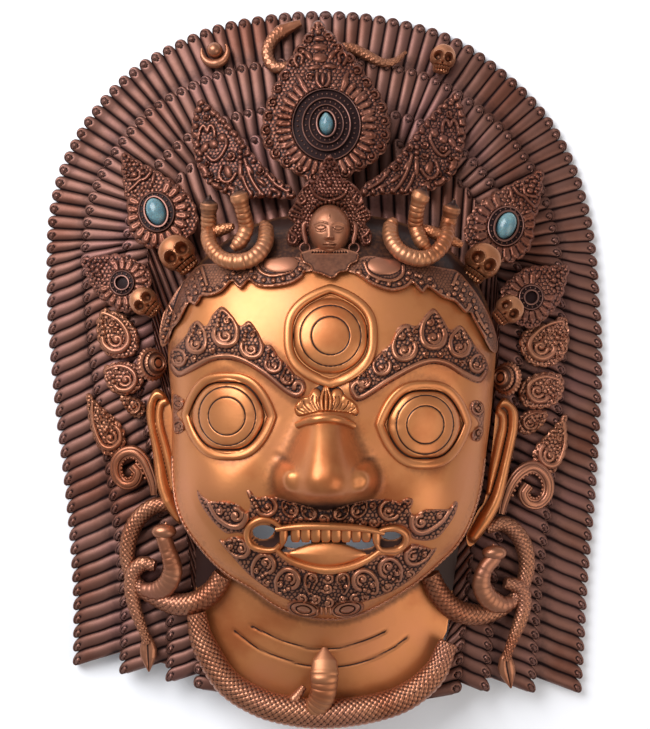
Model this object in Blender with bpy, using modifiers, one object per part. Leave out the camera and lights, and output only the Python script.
"""A copper ceremonial mask, lying on its back: a wrathful three-eyed face in front of a plate of
combed hair, with a crown of leaves, skulls and hooded snakes.

Metres. +X is the viewer's right, +Y runs towards the top of the head and +Z out of the face. The
plate's rim lies on Z = 0, and the origin is under the middle of the whole mask."""

import math

import bmesh
import bpy
import numpy as np
from mathutils import Vector

# Driving dimensions
MM = 0.001
MASK_HEIGHT = 503 * MM
# The free forms are drawn in units of which 503 make the mask's height, so a unit is a millimetre here.
U = MASK_HEIGHT / 503

FACE_SHEET = 1.4 * MM
HAIR_SHEET = 3.0 * MM
COLLAR_SHEET = 2.0 * MM
BAND_SHEET = 1.8 * MM
LEAF_EDGE = 2.0 * MM
EAR_SHEET = 3.0 * MM
SEAT_GAP = 0.4 * MM
HEAD_GAP = 1.2 * MM
STONE_GAP = 0.3 * MM

# The plate's dome
RIM_HEIGHT = 7.0 * MM
DOME_RISE = 31 * U
DOME_CENTRE_Y = 38 * U
DOME_HALF_WIDTH = 202 * U
DOME_REACH_UP = 214 * U
LEG_TAPER = 0.05
REST_STRIP = 6 * MM

# The hair: four tiers of locks, from the rim inwards
TIER_LOCKS = (122, 102, 76)
TIER_INSET = (25.5 * U, 56 * U, 74 * U)
TIER_SPREAD = (9 * U, 12 * U, 14 * U)
TIER_STEP = 3.6 * MM
LOCK_RELIEF = 2.2 * MM
LOCK_OVERHANG = 3.4 * U
LOCK_LEAN = 0.008
LEG_SLANT = 0.12
OPENING_DIP = 1.0 * MM
JAW_JOINT_Y = -112 * U
NECK_EDGES = (
    ((-52, -236), (-74, -212), (-88, -184), (-87, -160), (-89, -134)),
    ((62, -240), (74, -222), (87, -192), (88, -164), (90, -136)),
)
RIM_LINE = (
    (-180, -221), (-180, -165), (-185, -101), (-194, -26), (-199, 42), (-197, 110), (-179, 161),
    (-141, 207), (-89, 236), (-45, 246.5), (-3, 249.8), (40, 246.5), (88, 234), (126, 210), (158, 179),
    (179, 143), (192, 98), (197.4, 42), (199.4, -8), (195, -90), (189, -158), (186, -210), (184, -241),
)

# The head: the outline of its side wall, seen from the front
HEAD_CENTRE = (3 * U, -35 * U)
HEAD_LINE = (
    (4, 100), (46, 96), (80, 80), (105, 52), (117, 18), (119, -20), (118, -60), (110, -95), (94, -121),
    (80, -137), (58, -155), (28, -172), (3, -177), (-27, -171), (-50, -156), (-68, -145), (-84, -129),
    (-99, -108), (-109, -78), (-110, -30), (-108, 16), (-95, 54), (-70, 80), (-38, 96),
)
HEAD_EDGE_HEIGHT = 50 * U
JAW_EDGE_HEIGHT = 66 * U
HEAD_RISE = 56 * U
HEAD_FOOT = 18 * U
HEAD_TRIANGLES = 665

EYES = ((-64 * U, -37.5 * U), (66 * U, -43 * U))
EYE_HALF = (30 * U, 25 * U)
EYE_BALL = 19.5 * U
EYE_BULGE = 8 * U
THIRD_EYE = (4 * U, 15 * U)
THIRD_EYE_HALF = (28 * U, 31 * U)
LID_WIDTH = 4.6 * U
LID_RELIEF = 2.6 * U
NOSE_ROOT_Y = -22 * U
NOSE_TIP = (0 * U, -71 * U)
NOSE_RELIEF = 37 * U
NOSE_WING = (23 * U, -75 * U)
MOUTH = (3 * U, -117 * U)
MOUTH_HALF = (51 * U, 12 * U)

# The openings of the mouth: centres from its middle and half-sizes, as shares of its half-sizes
MOUTH_HOLES = (
    (-0.84, 0.25, 0.147, 0.41),
    (-0.42, -0.29, 0.196, 0.37),
    (0.41, -0.33, 0.196, 0.37),
    (0.80, 0.21, 0.147, 0.41),
)

# The neck
COLLAR_LINE = ((-86, -180), (-73, -206), (-46, -229), (-2, -238), (38, -233), (68, -218), (82, -190))
COLLAR_BULGE = 10 * U
COLLAR_TOP_Y = -129 * U
COLLAR_GAP = 2.2 * MM

# The crown
CAP_SEAT_Y = 88 * U
CREST_SEAT_Y = 84
BAND_LINE = (
    (-108, 16), (-97, 34), (-79, 47), (-54, 55), (-30, 58), (4, 59), (38, 57), (60, 52), (84, 43),
    (103, 28), (114, 9),
)
BAND_PETALS = 8
BAND_ABOVE = 5.5 * U
BAND_BELOW = 9 * U
BAND_PROBE = 0.95
WELL_FLOOR = 1.0

# The points of a skull's back that rest on what carries it, as shares of its half-sizes
SKULL_FEET = ((0, 0), (0, -0.7), (0, 0.7), (-0.7, 0), (0.7, 0))

# What stands on the hair
EAR_LIFT = 12 * U
NECK_LIFT = 2.5 * U
STUD_LIFT = 7 * U
STUD_LEAN = 0.9

SIDES = {"left": -1, "right": 1}


def smooth_line(points, count, closed=False):
    """Points at even steps on a smooth curve through the given ones."""
    given = np.asarray(points, float)
    if closed:
        padded = np.vstack([given[-1], given, given[0], given[1]])
    else:
        padded = np.vstack([2 * given[0] - given[1], given, 2 * given[-1] - given[-2]])
    fine = []
    steps = np.linspace(0, 1, 12, endpoint=False)[:, None]
    for a, b, c, d in zip(padded, padded[1:], padded[2:], padded[3:]):
        fine.append(0.5 * (2 * b + (c - a) * steps + (2 * a - 5 * b + 4 * c - d) * steps**2
                           + (3 * b - a - 3 * c + d) * steps**3))
    fine = np.vstack(fine + [padded[-2][None]])
    run = np.concatenate([[0], np.cumsum(np.linalg.norm(np.diff(fine, axis=0), axis=1))])
    wanted = np.linspace(0, run[-1], count, endpoint=not closed)
    return np.column_stack([np.interp(wanted, run, column) for column in fine.T])


def across(line, closed=False):
    """Unit vectors square to a flat line, on its left: outwards on one that runs clockwise."""
    flat = np.asarray(line, float)[:, :2]
    if closed:
        run = np.roll(flat, -1, axis=0) - np.roll(flat, 1, axis=0)
    else:
        run = np.gradient(flat, axis=0)
    run /= np.linalg.norm(run, axis=1)[:, None]
    return np.column_stack([-run[:, 1], run[:, 0]])


def hump(distance):
    """1 at 0, falling smoothly to 0 at 1 and beyond."""
    return np.clip(1 - np.asarray(distance) ** 2, 0, None) ** 2


def plate_height(x, y):
    """The height of the dome that the tips of the locks touch."""
    x, y = np.asarray(x, float), np.asarray(y, float)
    above = np.maximum(y - DOME_CENTRE_Y, 0)
    below = np.maximum(DOME_CENTRE_Y - y, 0)
    share = (x / (DOME_HALF_WIDTH - LEG_TAPER * below)) ** 2 + (above / DOME_REACH_UP) ** 2
    return RIM_HEIGHT + DOME_RISE * np.maximum(1 - share, 0)


def seat(x, y, lift=0.0):
    """Where the underside of a piece on the hair lies."""
    return plate_height(x, y) + SEAT_GAP + lift


head_outline = smooth_line(np.array(HEAD_LINE) * U, 200, closed=True)
beside_head = head_outline + across(head_outline, closed=True) * HEAD_GAP


def head_reach(angle):
    """How far the head's outline is from its centre, in a direction."""
    from_centre = head_outline - HEAD_CENTRE
    angles = np.arctan2(from_centre[:, 1], from_centre[:, 0])
    return np.interp(angle, angles, np.linalg.norm(from_centre, axis=1), period=2 * math.pi)


def head_edge(x, y):
    """The height at which the face turns into its side wall."""
    jaw = np.clip((-60 * U - y) / (60 * U), 0, 1)
    return HEAD_EDGE_HEIGHT + (JAW_EDGE_HEIGHT - HEAD_EDGE_HEIGHT) * jaw * jaw * (3 - 2 * jaw)


def almond(x, y, centre, half, upright=False):
    """How far out a point lies in an eye shape: 1 on its rim."""
    dx = np.abs(x - centre[0]) / half[0]
    dy = np.abs(y - centre[1]) / half[1]
    long_way, short_way = (dy, dx) if upright else (dx, dy)
    return short_way + np.minimum(long_way, 1.6) ** 2.2


def ridge(x, y, line, width):
    """A rounded ridge along a line of points: 1 on it, 0 beyond the half-width."""
    near = np.full(np.shape(x), np.inf)
    for a, b in zip(line, line[1:]):
        run = b - a
        share = np.clip(((x - a[0]) * run[0] + (y - a[1]) * run[1]) / run.dot(run), 0, 1)
        near = np.minimum(near, np.hypot(x - a[0] - share * run[0], y - a[1] - share * run[1]))
    return hump(near / width)


BROWS = [
    smooth_line(np.array(line) * U, 14)
    for line in (
        ((-104, 2), (-89, 4), (-66, 12), (-42, 2), (-27, -11), (-16, -19)),
        ((19, -19), (30, -14), (48, -1), (67, 8), (91, 1), (108, -4)),
    )
]
MOUSTACHE = [
    smooth_line(np.array(line) * U, 10)
    for line in (
        ((-82, -86), (-62, -88), (-48, -101), (-26, -99), (-4, -96)),
        ((86, -93), (68, -94), (54, -105), (32, -101), (8, -97)),
    )
]
BEARD, UPPER_LIP, LOWER_LIP = (
    smooth_line(np.array(line) * U, 16)
    for line in (
        ((-62, -122), (-42, -141), (-16, -152), (3, -155), (24, -152), (48, -141), (68, -124)),
        ((-51, -114), (-38, -106), (-16, -109), (3, -111), (22, -109), (43, -107), (54, -115)),
        ((-51, -114), (-40, -124), (-20, -132), (3, -135), (26, -132), (44, -124), (54, -115)),
    )
)


def face_height(x, y):
    """The height of the front of the face over the plane that the mask lies on."""
    x, y = np.asarray(x, float), np.asarray(y, float)
    dx, dy = x - HEAD_CENTRE[0], y - HEAD_CENTRE[1]
    share = np.hypot(dx, dy) / head_reach(np.arctan2(dy, dx))
    edge = head_edge(x, y)
    top = HEAD_EDGE_HEIGHT + HEAD_RISE
    z = edge + (top - edge) * np.maximum(1 - np.minimum(share, 1) ** 2.7, 0) ** 0.62
    calm = np.clip((1 - share) / 0.12, 0, 1)
    relief = 0 * x
    for centre in EYES:
        out = almond(x, y, centre, EYE_HALF)
        relief = relief - 3.0 * U * hump(out / 1.5)
        relief = relief + LID_RELIEF * hump((out - 1) * EYE_HALF[1] / LID_WIDTH)
        reach = np.hypot(x - centre[0], y - centre[1])
        relief = relief + EYE_BULGE * hump(reach / (1.45 * EYE_BALL)) * (out < 1.1)
    out = almond(x, y, THIRD_EYE, THIRD_EYE_HALF, upright=True)
    reach = np.hypot(x - THIRD_EYE[0], y - THIRD_EYE[1])
    relief = relief + LID_RELIEF * hump((out - 1) * THIRD_EYE_HALF[0] / LID_WIDTH)
    relief = relief + 0.6 * EYE_BULGE * hump(reach / (1.45 * EYE_BALL)) * (out < 1.1)
    down = np.clip((NOSE_ROOT_Y - y) / (NOSE_ROOT_Y - NOSE_TIP[1]), 0, 1)
    half = (9 + 14 * down) * U
    under = np.clip((y - NOSE_TIP[1] + 22 * U) / (18 * U), 0, 1)
    bridge = (0.25 + 0.75 * down ** 1.3) * np.clip((NOSE_ROOT_Y + 10 * U - y) / (12 * U), 0, 1)
    relief = relief + NOSE_RELIEF * bridge * under ** 0.8 * np.exp(-(((x - NOSE_TIP[0]) / half) ** 2))
    for side in (-1, 1):
        reach = np.hypot(x - side * NOSE_WING[0], (y - NOSE_WING[1]) * 1.1)
        relief = np.maximum(relief, 17 * U * hump(reach / (14 * U)) ** 0.6)
        reach = np.hypot(x - side * 68 * U, (y + 88 * U) * 0.9)
        relief = relief + 6 * U * hump(reach / (38 * U))
    for line in BROWS:
        relief = relief + 4.2 * U * ridge(x, y, line, 11 * U)
    for line in MOUSTACHE:
        relief = relief + 3.0 * U * ridge(x, y, line, 10 * U)
    relief = relief + 3.0 * U * ridge(x, y, BEARD, 12 * U)
    mouth = np.hypot((x - MOUTH[0]) / MOUTH_HALF[0], (y - MOUTH[1]) / MOUTH_HALF[1])
    relief = relief - 6 * U * hump(mouth / 1.05)
    relief = relief + 4.5 * U * np.maximum(ridge(x, y, UPPER_LIP, 4.5 * U), ridge(x, y, LOWER_LIP, 5 * U))
    return z + relief * calm


def material(name, colour, metallic=1.0, roughness=0.36):
    made = bpy.data.materials.new(name)
    made.use_nodes = True
    shader = made.node_tree.nodes["Principled BSDF"]
    shader.inputs["Base Color"].default_value = (*colour, 1)
    shader.inputs["Metallic"].default_value = metallic
    shader.inputs["Roughness"].default_value = roughness
    return made


def put_in(obj, collection):
    for old in list(obj.users_collection):
        old.objects.unlink(obj)
    collection.objects.link(obj)
    return obj


def finish(bm, name, look, smooth=True):
    """Turns a bmesh into one of the mask's objects."""
    bmesh.ops.remove_doubles(bm, verts=bm.verts, dist=1e-6)
    bmesh.ops.recalc_face_normals(bm, faces=bm.faces)
    mesh = bpy.data.meshes.new(name)
    bm.to_mesh(mesh)
    bm.free()
    mesh.materials.append(look)
    if smooth:
        mesh.shade_smooth()
        mesh.set_sharp_from_angle(angle=math.radians(40))
    obj = bpy.data.objects.new(name, mesh)
    parts.objects.link(obj)
    return obj


def bridge(bm, one, other, closed=False):
    """Faces between two rows of points, which may differ in number."""
    if closed:
        one, other = [*one, one[0]], [*other, other[0]]
    i = j = 0
    while i < len(one) - 1 or j < len(other) - 1:
        next_one = (i + 1) / (len(one) - 1) if i < len(one) - 1 else math.inf
        next_other = (j + 1) / (len(other) - 1) if j < len(other) - 1 else math.inf
        if abs(next_one - next_other) < 1e-9:
            bm.faces.new((one[i], one[i + 1], other[j + 1], other[j]))
            i, j = i + 1, j + 1
        elif next_one < next_other:
            bm.faces.new((one[i], one[i + 1], other[j]))
            i += 1
        else:
            bm.faces.new((one[i], other[j + 1], other[j]))
            j += 1


def loft(name, rings, look, smooth=True):
    """A closed body through rings of points, capped at both ends."""
    bm = bmesh.new()
    rows = [[bm.verts.new(p) for p in ring] for ring in rings]
    for one, other in zip(rows, rows[1:]):
        bridge(bm, one, other, closed=True)
    bm.faces.new(rows[0])
    bm.faces.new(rows[-1])
    return finish(bm, name, look, smooth)


def join(target, others):
    """Fuses other bodies into the target, which stays the only object."""
    for other in others:
        put_in(other, tools)
        other.hide_render = True
        other.display_type = "WIRE"
        modifier = target.modifiers.new("join " + other.name, "BOOLEAN")
        modifier.operation = "UNION"
        modifier.object = other
    return target


def cut(target, cutter):
    put_in(cutter, tools)
    cutter.hide_render = True
    cutter.display_type = "WIRE"
    modifier = target.modifiers.new("cut " + cutter.name, "BOOLEAN")
    modifier.operation = "DIFFERENCE"
    modifier.use_self = True
    modifier.object = cutter


def sweep(name, path, widths, heights, look, stations=12, sides=6):
    """A snake's body: ovals along a path, with half-widths and half-heights in layout units."""
    line = smooth_line(path, stations)
    steps = np.linspace(0, 1, stations)
    width = np.interp(steps, np.linspace(0, 1, len(widths)), widths) * U
    height = np.interp(steps, np.linspace(0, 1, len(heights)), heights) * U
    run = np.gradient(line, axis=0)
    rings = []
    for p, way, w, h in zip(line, run, width, height):
        forward = Vector(way).normalized()
        side = forward.cross(Vector((0, 0, 1)))
        side = side.normalized() if side.length > 1e-6 else Vector((1, 0, 0))
        up = side.cross(forward)
        turns = [2 * math.pi * (k + 0.5) / sides for k in range(sides)]
        rings.append([Vector(p) + side * (w * math.cos(a)) + up * (h * math.sin(a)) for a in turns])
    return loft(name, rings, look)


def lying(points, radius, lift=0.0):
    """A flat path, in layout units, laid on the hair as the axis of a round body."""
    line = np.array(points, float)[:, :2] * U
    return np.column_stack([line, seat(line[:, 0], line[:, 1]) + radius + lift])


def inset_line(line, inset, spread):
    """A tier's line inside the rim, farther in at the ends and over the top than at the sides."""
    share = np.linspace(0, 1, len(line))
    amount = inset + spread * (np.cos(2 * math.pi * share) ** 2) ** 0.7
    moved = line - across(line) * amount[:, None]
    moved[:, 1] -= LEG_SLANT * amount * (1 - share) ** 12
    return moved


def opening_line():
    """The plate's inner edge: up one side of the neck, round the head, and down the other side."""
    below = np.flatnonzero(beside_head[:, 1] < JAW_JOINT_Y)
    around = np.roll(beside_head, -below[-1] - 1, axis=0)[: len(beside_head) - len(below)]
    left, right = (np.array(line) * U for line in NECK_EDGES)
    return smooth_line(np.vstack([left, around[3:-3:5], right[::-1]]), 400)


def make_hair():
    """The plate: one sheet, with four tiers of locks that overlap like shingles."""
    bm = bmesh.new()

    def row(line, count, height):
        points = smooth_line(line, count)
        return [bm.verts.new((p[0], p[1], h)) for p, h in zip(points, height(points[:, 0], points[:, 1]))]

    def locks(line, count):
        """A tier's outer edge: two points a lock, one in the groove and one on the crest."""
        points = smooth_line(line, 2 * count + 1)
        crest = np.arange(2 * count + 1) % 2
        points = points + across(points) * (LOCK_OVERHANG * (crest - 0.5))[:, None]
        heights = plate_height(points[:, 0], points[:, 1]) - LOCK_RELIEF * (1 - crest)
        return [bm.verts.new((p[0], p[1], h)) for p, h in zip(points, heights)]

    def tucked(line, count):
        """A tier's inner end, which dips under the next tier's curls."""
        share = np.linspace(0, 1, count + 1)
        share = share + LOCK_LEAN * np.sin(2 * math.pi * share)
        fine = smooth_line(line, 401)
        points = np.column_stack([np.interp(share, np.linspace(0, 1, 401), c) for c in fine.T])
        heights = plate_height(points[:, 0], points[:, 1]) - TIER_STEP
        return [bm.verts.new((p[0], p[1], h)) for p, h in zip(points, heights)]

    rim = smooth_line(np.array(RIM_LINE) * U, 401)
    tiers = [inset_line(rim, inset, spread) for inset, spread in zip(TIER_INSET, TIER_SPREAD)]
    opening = opening_line()
    rows = [locks(rim, TIER_LOCKS[0])]
    for line, count, ahead in zip(tiers, TIER_LOCKS, TIER_LOCKS[1:]):
        rows.append(tucked(line, count))
        rows.append(locks(line, ahead))
    rows.append(tucked(tiers[-1], TIER_LOCKS[-1]))
    rows.append(row(tiers[-1], 48, plate_height))
    rows.append(row(opening, 50, lambda x, y: plate_height(x, y) - OPENING_DIP))
    rows.append(row(opening, 50, lambda x, y: plate_height(x, y) - OPENING_DIP - HAIR_SHEET))
    rows.append(row(tiers[0], 48, lambda x, y: plate_height(x, y) - TIER_STEP - HAIR_SHEET))
    rows.append(row(inset_line(rim, REST_STRIP, 0), 40, lambda x, y: 0 * x))
    rows.append(row(rim, 80, lambda x, y: 0 * x))
    for one, other in zip(rows, [*rows[1:], rows[0]]):
        bridge(bm, one, other)
    for end in (0, -1):
        bm.faces.new([r[end] for r in rows])
    return finish(bm, "hair_halo", copper_dark, smooth=False)


def make_head():
    """The face with its forehead and cap: one raised sheet, open behind."""
    turns, rings = 176, 74
    bm = bmesh.new()
    angles = np.linspace(0, 2 * math.pi, turns, endpoint=False)
    reach = head_reach(angles)
    middle = bm.verts.new((*HEAD_CENTRE, float(face_height(*HEAD_CENTRE))))
    rows = []
    for share in np.linspace(0, 1, rings + 1)[1:]:
        share = share ** 0.86
        x = HEAD_CENTRE[0] + share * reach * np.cos(angles)
        y = HEAD_CENTRE[1] + share * reach * np.sin(angles)
        rows.append([bm.verts.new(p) for p in zip(x, y, face_height(x, y))])
    rows.append([bm.verts.new((v.co.x, v.co.y, HEAD_FOOT)) for v in rows[-1]])
    for a, b in zip(rows[0], [*rows[0][1:], rows[0][0]]):
        bm.faces.new((middle, a, b))
    for one, other in zip(rows, rows[1:]):
        bridge(bm, one, other, closed=True)
    made = len(bm.faces) * 2
    head = finish(bm, "head_shell", copper_face)
    decimate = head.modifiers.new("fewer faces", "DECIMATE")
    decimate.ratio = HEAD_TRIANGLES / made
    solidify = head.modifiers.new("sheet", "SOLIDIFY")
    solidify.thickness = FACE_SHEET
    solidify.offset = -1
    solidify.thickness_clamp = 1.0
    solidify.use_thickness_angle_clamp = True
    cut(head, mouth_cutter())
    return head


def mouth_cutter():
    """One prism for each opening of the mouth."""
    bm = bmesh.new()
    wide, high = MOUTH_HALF
    for x, y, half_x, half_y in MOUTH_HOLES:
        made = bmesh.ops.create_cone(bm, cap_ends=True, segments=8, radius1=1, radius2=1, depth=120 * U)
        bmesh.ops.scale(bm, vec=(half_x * wide, half_y * high, 1), verts=made["verts"])
        middle = (MOUTH[0] + x * wide, MOUTH[1] + y * high, 90 * U)
        bmesh.ops.translate(bm, vec=middle, verts=made["verts"])
    return finish(bm, "mouth_openings", copper_dark)


def make_collar():
    """The neck: a smooth bowed sheet between the jaw and the snake that lies round it."""
    stations = 12
    lower = smooth_line(np.array(COLLAR_LINE) * U, stations)
    jaw = head_outline + across(head_outline, closed=True) * COLLAR_GAP
    jaw = jaw[jaw[:, 1] < COLLAR_TOP_Y]
    upper = smooth_line(jaw[np.argsort(jaw[:, 0])], stations)
    rings = []
    for low, high in zip(lower, upper):
        ring = []
        for share in (0, 0.33, 0.67, 1):
            x, y = low + (high - low) * share
            bow = COLLAR_BULGE * (0.2 + 0.8 * share) * max(0, 1 - (x / (92 * U)) ** 2)
            ring.append((x, y, float(plate_height(x, y)) + bow))
        ring += [(x, y, z - COLLAR_SHEET) for x, y, z in (ring[3], ring[0])]
        rings.append(ring)
    return loft("neck_collar", rings, copper_face)


class Leaf:
    """A straight leaf of the crown: where it points, how it leans over the hair, and its surfaces."""

    def __init__(self, base, tip, half, lift_base, lift_tip, bulge):
        self.base = np.array(base) * U
        self.tip = np.array(tip) * U
        self.length = np.linalg.norm(self.tip - self.base)
        self.along = (self.tip - self.base) / self.length
        self.side = np.array((-self.along[1], self.along[0]))
        self.half = half * U
        self.lifts = (lift_base * U, lift_tip * U)
        self.bulge = bulge * U

    def under(self, p):
        share = np.clip((p - self.base).dot(self.along) / self.length, 0, 1)
        lift = self.lifts[0] + (self.lifts[1] - self.lifts[0]) * share
        return float(seat(p[0], p[1], lift))

    def top(self, p):
        out = (p - self.base).dot(self.side) / self.half
        return self.under(p) + LEAF_EDGE + self.bulge * max(0, 1 - out * out)

    def place(self, share, out):
        """A point on the leaf: 0 to 1 from base to tip, and -1 to 1 from right to left at its widest."""
        return self.base + self.along * self.length * share + self.side * self.half * out


def make_leaf(name, leaf, widths, look, stations=9):
    """A leaf whose half-widths, as shares of its greatest, run from base to tip."""
    rings = []
    for share in np.linspace(0, 1, stations):
        width = np.interp(share, np.linspace(0, 1, len(widths)), widths)
        edge_in, edge_out = leaf.place(share, width), leaf.place(share, -width)
        ring = [(*p, leaf.under(p)) for p in (edge_out, edge_in)]
        for out in (width, 0.5 * width, 0, -0.5 * width, -width):
            p = leaf.place(share, out)
            ring.append((*p, leaf.top(p)))
        rings.append(ring)
    return loft(name, rings, look)


def make_bezel(name, leaf, at, rings_out, stone, segments):
    """Stepped rings round a stone: radii and heights over the leaf, and a well for the stone."""
    centre = np.array(at) * U
    outer = rings_out[0][0]

    def ring(radius, rise):
        oval = min(1, (outer - radius) / (outer - stone[0]))
        points = []
        for k in range(segments):
            a = 2 * math.pi * k / segments
            along = math.cos(a) * radius * (1 + (stone[1] / stone[0] - 1) * oval) * U
            p = centre + leaf.along * along + leaf.side * (math.sin(a) * radius * U)
            points.append((*p, leaf.top(p) + SEAT_GAP + rise * U))
        return points

    well = stone[0] + STONE_GAP / U
    rings = [ring(well, 0), ring(outer, 0)]
    rings += [ring(radius, rise) for radius, rise in rings_out]
    rings += [ring(well, rings_out[-1][1]), ring(well, WELL_FLOOR)]
    return loft(name, rings, copper_dark)


def make_stone(name, leaf, at, stone, rise, segments):
    """A polished oval stone, domed, that sits in its bezel."""
    centre = np.array(at) * U
    rings = []
    for size, height in ((1, WELL_FLOOR + STONE_GAP / U), (1, rise - 1.6), (0.8, rise - 0.5), (0.4, rise)):
        points = []
        for k in range(segments):
            a = 2 * math.pi * k / segments
            p = centre + leaf.along * (math.cos(a) * stone[1] * size * U)
            p = p + leaf.side * (math.sin(a) * stone[0] * size * U)
            points.append((*p, leaf.top(p) + SEAT_GAP + height * U))
        rings.append(points)
    return loft(name, rings, turquoise)


def make_plume(name, line, widths, lift, look):
    """A curved, ruffled leaf beside the middle one."""
    flat = smooth_line(np.array(line) * U, 9)
    side = across(flat)
    rings = []
    for share, p, out in zip(np.linspace(0, 1, 9), flat, side):
        width = np.interp(share, np.linspace(0, 1, len(widths)), widths) * U
        rise = lift[0] * U + (lift[1] - lift[0]) * U * share
        ring = []
        for w in (-width, width):
            q = p + out * w
            ring.append((*q, float(seat(*q, rise))))
        for w in (width, 0.4 * width, -0.3 * width, -width):
            q = p + out * w
            bulge = 3.0 * U * (1 - (w / width) ** 2)
            ring.append((*q, float(seat(*q, rise)) + LEAF_EDGE + bulge))
        rings.append(ring)
    return loft(name, rings, look)


def make_skull(name, at, up_angle, half, carrier):
    """A small skull with a flat back: a round brow, sunken sockets and a narrow jaw. It lies on its carrier,
    which is a function that gives the height of the surface under a point."""
    bm = bmesh.new()
    bmesh.ops.create_uvsphere(bm, u_segments=9, v_segments=6, radius=1)
    turn = math.radians(up_angle)
    up = np.array((math.cos(turn), math.sin(turn)))
    side = np.array((up[1], -up[0]))
    under = [np.array(at) * U + side * a * half[0] * U + up * b * half[1] * U for a, b in SKULL_FEET]
    base = max(carrier(p) for p in under) + SEAT_GAP
    for v in bm.verts:
        a, b, c = v.co
        jaw = max(0, -b - 0.1)
        a *= 1 - 0.42 * jaw
        socket = max(0, 1 - ((abs(a) - 0.42) ** 2 + (b + 0.02) ** 2) / 0.12)
        c = c - 0.35 * socket * (c > 0.2)
        c = max(c, -0.35)
        p = np.array(at) * U + side * a * half[0] * U + up * b * half[1] * U
        v.co = (*p, base + half[0] * U * (0.36 + c))
    bmesh.ops.triangulate(bm, faces=bm.faces)
    return finish(bm, name, copper_gold)


def relief_figure(name, spine, halves, heights, look, sides=6):
    """A rounded leaf over a flat back on the hair: half-width and height at each point of its spine."""
    flat = smooth_line(np.array(spine) * U, len(halves))
    rings = []
    heights = np.interp(np.linspace(0, 1, len(halves)), np.linspace(0, 1, len(heights)), heights)
    for p, out, half, height in zip(flat, across(flat), halves, heights):
        ring = []
        for k in range(sides):
            a = math.pi * k / (sides - 1)
            q = p + out * math.cos(a) * half * U
            ring.append((*q, float(seat(*q)) + math.sin(a) * height * U + 0.3 * U))
        rings.append(ring)
    return loft(name, rings, look)


def build_crown():
    centre = Leaf((3, 106), (-4, 240), 44.5, 24, 5, 5)
    make_leaf("leaf_center", centre, (0.42, 0.66, 0.9, 1.0, 0.97, 0.8, 0.46, 0.2, 0.02), copper_red, 10)
    stone = (5.6, 8.4)
    rings = ((25, 0.6), (22, 2.2), (17, 2.6), (15.5, 4.6), (11, 4.8), (9.5, 6.5))
    make_bezel("center_bezel", centre, (2, 160), rings, stone, 12)
    make_stone("center_stone", centre, (2, 160), stone, 9.0, 12)

    side_leaves = {
        "left": ((-97, 66), (-142, 146), (-117.5, 100)),
        "right": ((108, 63), (153, 133), (126, 92)),
    }
    skulls = {"left": ((-101, 70), 130, (-124, 39), 140), "right": ((111, 65), 55, (129, 33), 40)}
    for side, (base, tip, at) in side_leaves.items():
        leaf = Leaf(base, tip, 22, 17, 2, 3)
        place, turn = skulls[side][:2]
        make_skull("skull_upper_" + side, place, turn, (12, 12), leaf.top)
        make_leaf("side_leaf_" + side, leaf, (0.35, 0.85, 1.0, 0.82, 0.6, 0.4, 0.2, 0.02), copper_red, 8)
        stone = (5.4, 7.4)
        make_bezel("side_bezel_" + side, leaf, at, ((14, 0.6), (12.5, 2.4), (9, 3.4), (8, 5.4)), stone, 10)
        make_stone("side_stone_" + side, leaf, at, stone, 7.6, 10)

    ring_leaves = {
        "left": ((-117, 37), (-172, 70), (-142, 52)),
        "right": ((121, 29), (172, 66), (145, 44)),
    }
    for side, (base, tip, at) in ring_leaves.items():
        leaf = Leaf(base, tip, 19, 14, 2, 3)
        place, turn = skulls[side][2:]
        make_skull("skull_lower_" + side, place, turn, (9.5, 12), leaf.top)
        make_leaf("ring_leaf_" + side, leaf, (0.55, 0.95, 1.0, 0.7, 0.4, 0.02), copper_red, 7)
        make_bezel("ring_bezel_" + side, leaf, at, ((9.5, 0.6), (8.6, 2.6), (6.6, 3.4)), (4.8, 5.6), 10)

    plumes = {
        "left": ((-20, 112), (-44, 124), (-70, 142), (-88, 182)),
        "right": ((26, 112), (54, 128), (80, 148), (93, 187)),
    }
    for side, line in plumes.items():
        make_plume("plume_leaf_" + side, line, (7, 13, 17, 16, 12, 5, 0.5), (17, 2), copper_red)


def build_cobras():
    """A pair of twined, hooded snakes on either side of the crest head."""
    pairs = {
        "left": (
            ((-78, 106), (-75, 92), (-74, 76), (-60, 64), (-46, 67), (-39, 79), (-42, 90)),
            ((-57, 112), (-54, 101), (-53, 90), (-56, 78), (-64, 71)),
            ((-80, 84), (-60, 88)),
        ),
        "right": (
            ((86, 106), (83, 92), (79, 77), (67, 65), (54, 66), (45, 77), (45, 88)),
            ((68, 113), (63, 101), (60, 88), (65, 76), (72, 71)),
            ((64, 87), (93, 75)),
        ),
    }
    for side, (outer, inner, bar) in pairs.items():
        line = over_cap(outer, (27, 21, 12, 8, 8, 7, 6.5))
        widths, heights = (3.2, 8, 6.5, 6.2, 6, 5.5, 3), (2.6, 4.2, 5.4, 5.4, 5.4, 5, 3)
        made = sweep("crown_cobras_" + side, line, widths, heights, copper_gold, 11)
        line = over_cap(inner, (31, 25, 16, 10, 8))
        widths, heights = (3.0, 7.5, 6.2, 6, 4.5), (2.6, 4.2, 5.2, 5.2, 4.5)
        second = sweep("inner_cobra_" + side, line, widths, heights, copper_gold, 7)
        line = over_cap(bar, (15, 14))
        third = sweep("cobra_bar_" + side, line, (4, 5, 4), (4, 5, 4), copper_gold, 3, 5)
        join(made, (second, third))


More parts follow.
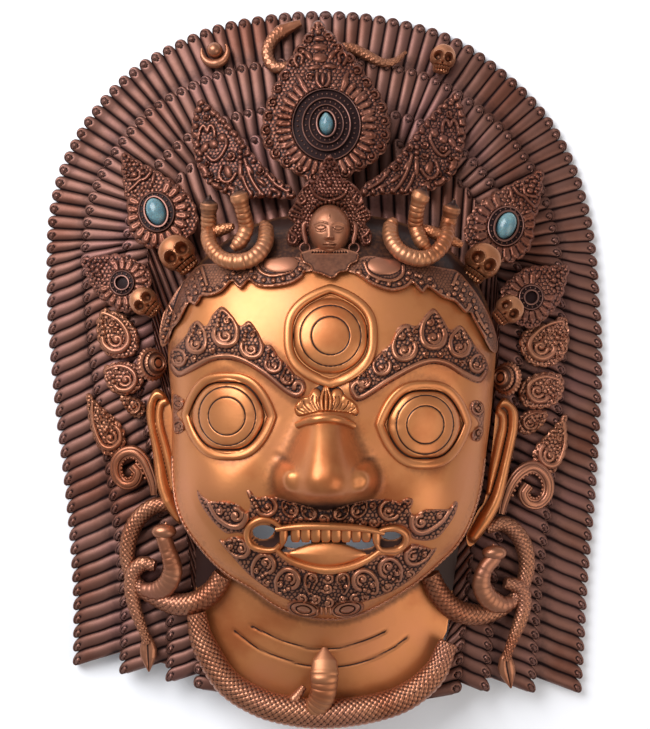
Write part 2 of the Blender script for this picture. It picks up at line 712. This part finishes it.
def build_hair_snakes():
    """The snakes that lie on the hair: one over the crown, one beside each ear, and one round the neck."""
    top = (
        (-17, 238), (-25, 235), (-34, 230), (-40, 216), (-36, 206), (-20, 208), (0, 216), (18, 220),
        (40, 210), (50, 211), (58, 218),
    )
    widths, heights = (2.6, 4.4, 3.2, 3, 3, 3, 3, 3, 2.8, 2.4, 0.8), (2.4, 2.9, 2.9, 2.9, 2.9, 2.4, 0.8)
    sweep("top_snake", lying(top, 2.9 * U), widths, heights, copper_dark, 15, 5)

    sides = {
        "left": (
            ((-106, -101), (-120, -103), (-132, -114), (-138, -130), (-137, -147), (-128, -163), (-114, -169),
             (-100, -171), (-89, -164)),
            ((-111, -120), (-111, -125), (-107, -132), (-105, -145), (-109, -156), (-117, -161),
             (-127, -161)),
            ((-118, -144), (-127, -143), (-134, -150), (-135, -162), (-133, -173), (-130, -182), (-125, -195),
             (-124, -204), (-123, -218)),
        ),
        "right": (
            ((115, -118), (125, -115), (135, -122), (141, -134), (142, -149), (136, -166), (125, -175),
             (114, -179), (102, -179), (94, -175)),
            ((116, -131), (115, -138), (109, -145), (109, -156), (114, -166), (123, -171), (131, -170)),
            ((126, -156), (137, -160), (140, -170), (138, -181), (133, -194), (129, -204), (127, -214),
             (131, -230)),
        ),
    }
    for side, (loop, hooded, tail) in sides.items():
        widths, heights = (3.6, 5, 5.2, 5.2, 5, 5, 5.2, 4.4), (3.4, 4.8, 4.9, 4.9, 4.9, 4.9, 4.8, 4)
        made = sweep("side_snake_" + side, lying(loop, 4.9 * U), widths, heights, copper_brown, 11, 5)
        line = lying(hooded, 5.2 * U)
        line[:, 2] += np.linspace(11, 2.5, len(line)) * U
        widths, heights = (1.2, 7.8, 6.2, 6.8, 7, 6.4, 5), (1.4, 4.4, 4.6, 5, 5.2, 5.2, 4.6)
        second = sweep("hooded_" + side, line, widths, heights, copper_gold, 8)
        line = lying(tail, 4.6 * U)
        line[:, 2] += np.linspace(3.5, 0, len(line)) * U
        widths, heights = (4.6, 5, 5, 5, 4.4, 3, 2.6, 5.6, 0.8), (4.6, 4.6, 4.6, 4.6, 4.2, 3.6, 3, 2.4, 1)
        third = sweep("tail_" + side, line, widths, heights, copper_brown, 9, 5)
        join(made, (second, third))

    around = (
        (-89, -176), (-84, -196), (-68, -222), (-46, -236), (-24, -242), (0, -244), (30, -241), (56, -233),
        (76, -217), (86, -196),
    )
    widths, heights = (6, 8.4, 8.7, 8.7, 8.7, 8.7, 8.4, 6), (5, 8, 8.4, 8.4, 8.4, 8.4, 8, 5)
    made = sweep("neck_snake", lying(around, 8.6 * U, NECK_LIFT), widths, heights, copper_brown, 15)
    line = lying(((-12, -243), (-7, -240), (-1, -228), (0, -214), (0, -203), (0, -197)), 0)
    line[:, 2] += np.array((12, 17, 22, 24, 21, 18)) * U
    hood = sweep("neck_hood", line, (4.5, 8, 8.5, 9, 9.8, 3), (4.5, 5.5, 5.5, 5.5, 5, 2), copper_gold, 8)
    line = lying(((-27, -242), (-20, -233), (-14, -225)), 12 * U)
    stub = sweep("neck_tail", line, (3.8, 3.8, 2), (3.8, 3.8, 2), copper_brown, 3, 5)
    join(made, (hood, stub))


def over_cap(points, lifts):
    """A path over the cap and beyond its edge, at given heights over the cap's top."""
    line = np.array(points, float) * U
    held = np.minimum(line[:, 1], CAP_SEAT_Y)
    return np.column_stack([line, face_height(line[:, 0] * 0.8, held) + np.array(lifts) * U])


def build_halo_skull():
    make_skull("halo_skull", (85, 213), 80, (9.5, 10), lambda p: float(seat(p[0], p[1])))


def build_ears():
    lines = {
        "left": ((-117.5, -19), (-119.5, -40), (-118.5, -65), (-117, -85), (-111.5, -101), (-106, -117)),
        "right": ((127.5, -25), (129, -42), (127, -65), (124.5, -85), (117, -105), (105, -127)),
    }
    for side, line in lines.items():
        flat = smooth_line(np.array(line) * U, 9)
        out = across(flat) * -SIDES[side]
        widths = np.interp(np.linspace(0, 1, 9), (0, 0.12, 0.4, 0.7, 0.85, 1), (3, 7, 7, 5.5, 4.4, 3)) * U
        rings = []
        for p, way, wide in zip(flat, out, widths):
            low = float(seat(*p, EAR_LIFT))
            inner, bowl, helix, outer = (p + way * wide * share for share in (-1, -0.1, 0.55, 1))
            ring = [(*inner, low), (*outer, low), (*outer, low + 5 * U), (*helix, low + 8 * U)]
            ring += [(*bowl, low + 4 * U), (*inner, low + EAR_SHEET)]
            rings.append(ring)
        loft("ear_" + side, rings, copper_face)


def build_temples():
    """Scrolls of foliage on the hair beside the face, and the tilted ear studs over them."""
    flames = {
        "left": (
            ((-122, -94), (-122, -81), (-125, -71), (-133, -61), (-142, -61), (-149, -70), (-149, -83),
             (-142, -92), (-133, -90), (-131, -83), (-136, -78)),
            ((-148, -65), (-151, -50), (-158, -38), (-167, -25)),
        ),
        "right": (
            ((126, -107), (128, -93), (134, -84), (142, -77), (152, -77), (160, -85), (161, -98),
             (154, -108), (145, -107), (141, -100), (145, -95)),
            ((158, -82), (160, -69), (165, -54), (170, -39)),
        ),
    }
    for side, (curl, leaf) in flames.items():
        widths, heights = (2.6, 3.8, 4.6, 5.4, 6, 6.8, 7, 7, 6.4, 5, 4), (3, 4.6, 4.6, 4.6, 4)
        made = sweep("ear_flame_" + side, lying(curl, 4.6 * U), widths, heights, copper_brown, 11, 6)
        halves, heights = (6, 11, 11.5, 7, 4.5, 0.8), (4, 7, 7.5, 6, 4, 1.5)
        second = relief_figure("flame_leaf_" + side, leaf, halves, heights, copper_brown)
        join(made, (second,))

    scrolls = {
        "left": (
            ((-144, -2), (-146, 12), (-148, 22), (-154, 33)),
            ((-136, -25), (-141, -15), (-149, -6), (-155, 2)),
            ((-131, -36), (-137, -29), (-143, -26)),
        ),
        "right": (
            ((147, -10), (148, 1), (150, 14), (157, 26)),
            ((145, -34), (148, -23), (155, -15), (161, -8)),
            ((140, -47), (145, -40), (152, -38)),
        ),
    }
    for side, (upper, middle, lower) in scrolls.items():
        halves, heights = (5, 11, 12, 9, 3.5), (4, 7, 7.5, 6, 2.5)
        made = relief_figure("temple_scroll_" + side, upper, halves, heights, copper_brown)
        halves, heights = (6, 11, 10, 4), (4.5, 7, 6.5, 3)
        second = relief_figure("second_scroll_" + side, middle, halves, heights, copper_brown)
        third = relief_figure("third_scroll_" + side, lower, (3, 6, 3), (3, 4.5, 2.5), copper_brown)
        join(made, (second, third))

    studs = {"left": (-123, -4, -1), "right": (130, -14, 1)}
    for side, (x, y, way) in studs.items():
        axis = Vector((STUD_LEAN * way, 0.15, 1)).normalized()
        turn = Vector((0, 0, 1)).rotation_difference(axis)
        foot = Vector((x * U, y * U, float(seat(x * U, y * U, STUD_LIFT))))
        rings = []
        for radius, rise in ((8, 0), (12, 1), (12, 4.5), (8.5, 6), (8.5, 12), (5, 13)):
            ring = []
            for k in range(9):
                a = 2 * math.pi * k / 9
                p = Vector((math.cos(a) * radius, math.sin(a) * radius, rise)) * U
                p.rotate(turn)
                ring.append(p + foot)
            rings.append(ring)
        loft("temple_rosette_" + side, rings, copper_brown)


def build_moon():
    """A sun over a lying crescent, on the hair."""
    x, y = -78, 219
    crescent = []
    for share in np.linspace(-1, 1, 7):
        a = math.radians(-80 + 105 * share)
        crescent.append((x + 9 * math.cos(a), y + 1 + 9 * math.sin(a)))
    widths, heights = (0.6, 2.4, 3.2, 2.4, 0.6), (1, 2.4, 2.6, 2.4, 1)
    made = sweep("moon_and_sun", lying(crescent, 2.6 * U), widths, heights, copper_brown, 7, 5)
    bm = bmesh.new()
    bmesh.ops.create_uvsphere(bm, u_segments=7, v_segments=4, radius=5.6 * U)
    bmesh.ops.translate(bm, vec=(x * U, (y - 1) * U, float(seat(x * U, y * U, 5.6 * U))), verts=bm.verts)
    join(made, (finish(bm, "sun", copper_brown),))


def build_band():
    """The crown's band over the forehead: a festoon of pointed petals."""

    def over_brow(p, lift):
        """A point over the face, farther off where the face falls away."""
        here = float(face_height(*p))
        falls = abs(here - float(face_height(p[0] * BAND_PROBE, p[1]))) / abs(p[0] * (1 - BAND_PROBE) + MM)
        return (*p, here + HEAD_GAP * (1 + min(falls, 3)) + lift)

    line = smooth_line(np.array(BAND_LINE) * U, BAND_PETALS * 3 + 1)
    rings = []
    for k, (p, up) in enumerate(zip(line, across(line))):
        scallop = 1 - 0.4 * (k % 3 == 0)
        upper, lower = p + up * BAND_ABOVE, p - up * BAND_BELOW * scallop
        ring = [over_brow(q, BAND_SHEET) for q in (upper, p, lower)]
        ring += [over_brow(q, 0) for q in (lower, p, upper)]
        rings.append(ring)
    loft("crown_band", rings, copper_dark)


def build_crest():
    """The small crowned head over the forehead."""
    halves = (3, 13, 20, 15.5, 17, 26, 22, 13, 1.5)
    heights = (3, 6, 8, 15, 17, 15, 12, 8, 2)
    rings = []
    for y, half, height in zip(np.linspace(52, 133, 9), halves, heights):
        low = float(face_height(4 * U, min(y, CREST_SEAT_Y) * U)) + 5 * U
        ring = []
        for k in range(8):
            a = math.pi * k / 7
            ring.append(((4 + math.cos(a) * half) * U, y * U, low + math.sin(a) * height * U))
        rings.append(ring)
    loft("crest_head", rings, copper_red)


scene = bpy.context.scene
for old in list(bpy.data.objects):
    bpy.data.objects.remove(old, do_unlink=True)
parts = bpy.data.collections.new("ceremonial_mask")
tools = bpy.data.collections.new("ceremonial_mask_tools")
scene.collection.children.link(parts)
scene.collection.children.link(tools)

copper_face = material("copper_face", (0.72, 0.33, 0.13), roughness=0.3)
copper_gold = material("copper_gold", (0.66, 0.34, 0.15), roughness=0.36)
copper_brown = material("copper_brown", (0.48, 0.21, 0.1), roughness=0.4)
copper_red = material("copper_red", (0.36, 0.14, 0.08), roughness=0.42)
copper_dark = material("copper_dark", (0.3, 0.13, 0.08), roughness=0.45)
turquoise = material("turquoise", (0.1, 0.42, 0.43), metallic=0.0, roughness=0.35)

make_hair()
make_head()
make_collar()
build_crown()
build_cobras()
build_hair_snakes()
build_halo_skull()
build_ears()
build_temples()
build_moon()
build_band()
build_crest()
